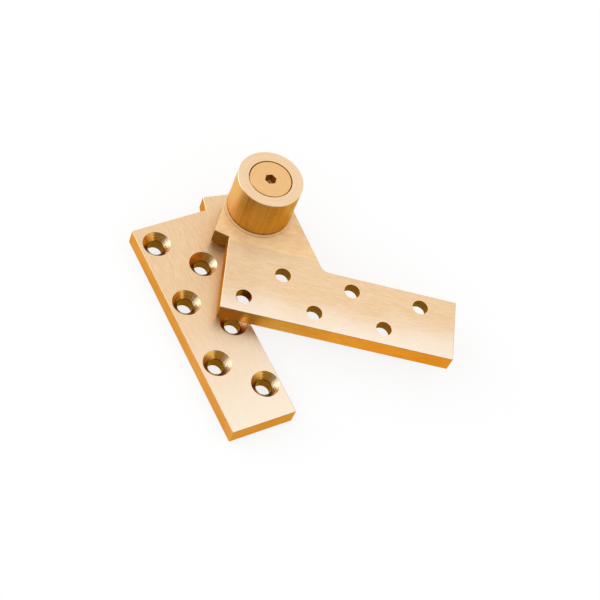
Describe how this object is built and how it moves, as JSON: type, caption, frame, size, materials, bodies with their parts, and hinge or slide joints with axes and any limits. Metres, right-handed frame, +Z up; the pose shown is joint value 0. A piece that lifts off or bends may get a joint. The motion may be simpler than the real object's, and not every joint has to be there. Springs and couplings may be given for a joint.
{
  "type": "pivot hinge",
  "caption": "Offset pivot hinge: stacked plate leaves with staggered countersunk holes turn about a headed pin in an upright barrel.",
  "frame": {"origin": "where the pivot axis meets the frame leaf's mounting face", "axes": "+Z up the pivot axis towards the barrel's top, +X along the frame leaf away from the pivot, -Y from the pivot across the frame leaf"},
  "size_m": [0.1127, 0.1174, 0.0383],
  "materials": {
    "leaf_brass": "satin brushed",
    "pin_brass": "satin turned",
    "bronze": "sintered, oiled",
    "bearing_steel": "ground",
    "screw_steel": "black oxide",
    "nylon": "moulded"
  },
  "bodies": {
    "frame": {"frame_leaf": "leaf_brass", "pivot_pin": "pin_brass", "thrust_washer": "bronze", "lock_screw": "screw_steel"},
    "door": {"door_leaf": "leaf_brass", "needle_race": "bearing_steel", "head_washer": "nylon"},
    "needles": {"needle_01": "bearing_steel", "needle_02": "bearing_steel", "needle_03": "bearing_steel", "needle_04": "bearing_steel", "needle_05": "bearing_steel", "needle_06": "bearing_steel", "needle_07": "bearing_steel", "needle_08": "bearing_steel", "needle_09": "bearing_steel", "needle_10": "bearing_steel", "needle_11": "bearing_steel", "needle_12": "bearing_steel", "needle_13": "bearing_steel", "needle_14": "bearing_steel", "needle_15": "bearing_steel", "needle_16": "bearing_steel", "needle_17": "bearing_steel", "needle_18": "bearing_steel"}
  },
  "joints": [
    {"name": "door_swing", "type": "hinge", "parent": "frame", "child": "door", "pos_m": [0, 0, 0.00844], "axis": [0, 0, 1], "range_deg": [-57.05, 122.95]},
    {"name": "needle_orbit", "type": "hinge", "parent": "frame", "child": "needles", "pos_m": [0, 0, 0.00844], "axis": [0, 0, 1], "range_deg": [-33.3, 71.8]}
  ],
  "couplings": [
    {"joint": "needle_orbit", "follows": "door_swing", "ratio": 0.58333}
  ]
}
